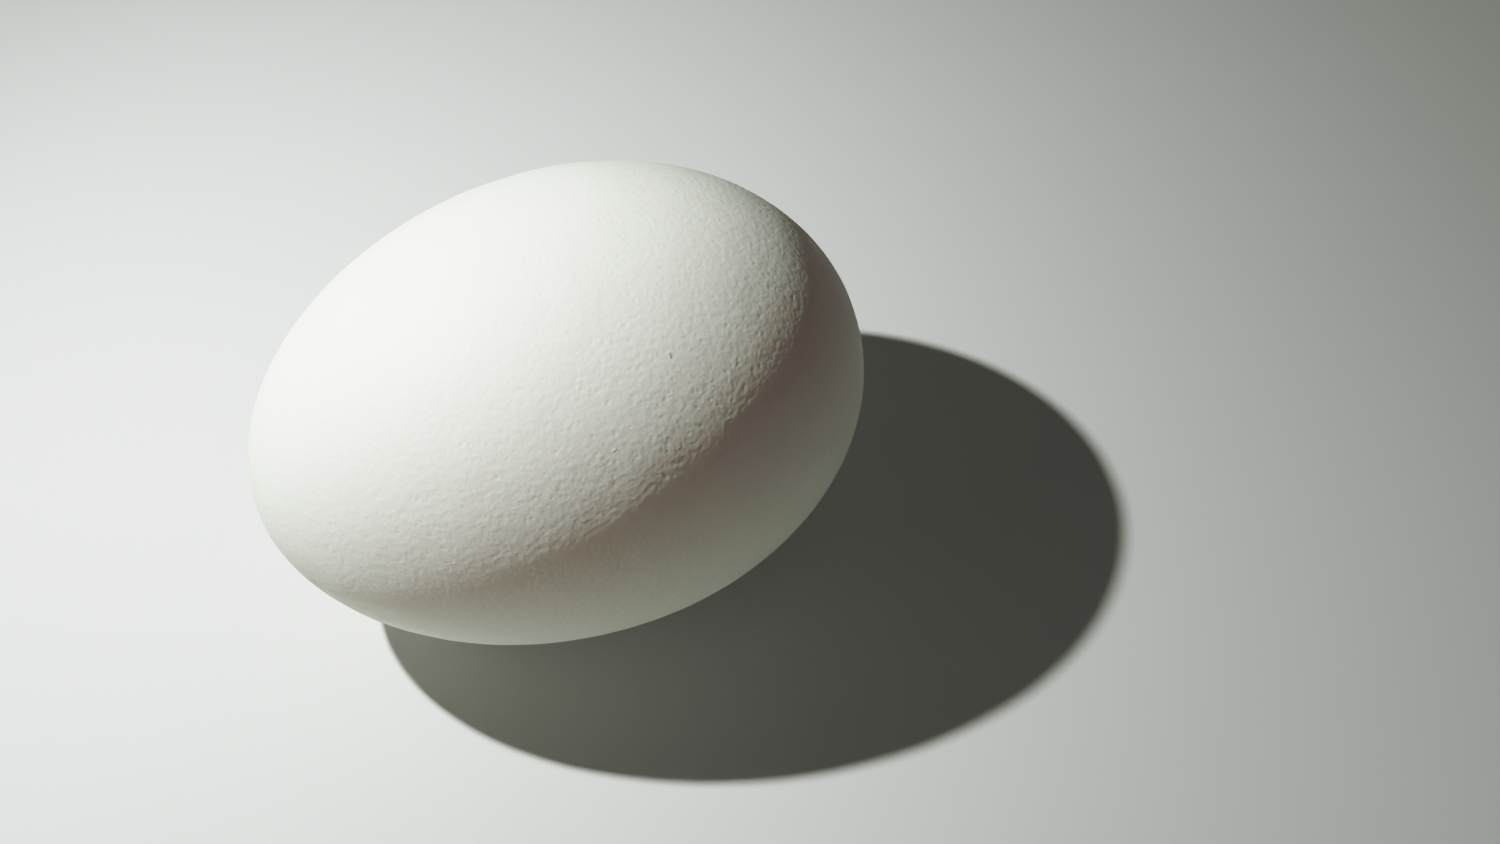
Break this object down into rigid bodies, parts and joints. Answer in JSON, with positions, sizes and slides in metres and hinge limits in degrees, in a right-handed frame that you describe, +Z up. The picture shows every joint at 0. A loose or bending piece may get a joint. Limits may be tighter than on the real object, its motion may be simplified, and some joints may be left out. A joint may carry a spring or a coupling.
{
  "type": "egg",
  "caption": "Whole white hen's egg lying on its side: smooth closed ovoid, blunter at one end, resting on a small flat spot.",
  "frame": {"origin": "middle of the flat spot on the underside, on the surface that the egg lies on, under its centre of mass", "axes": "+X along the egg toward its blunt end, level; +Y across the egg; +Z up. The long axis itself leans about 3 degrees from +X, with the pointed end low"},
  "size_m": [0.0569, 0.0426, 0.0426],
  "materials": {
    "shell": "matte"
  },
  "bodies": {
    "root": {"egg": "shell"}
  },
  "joints": []
}
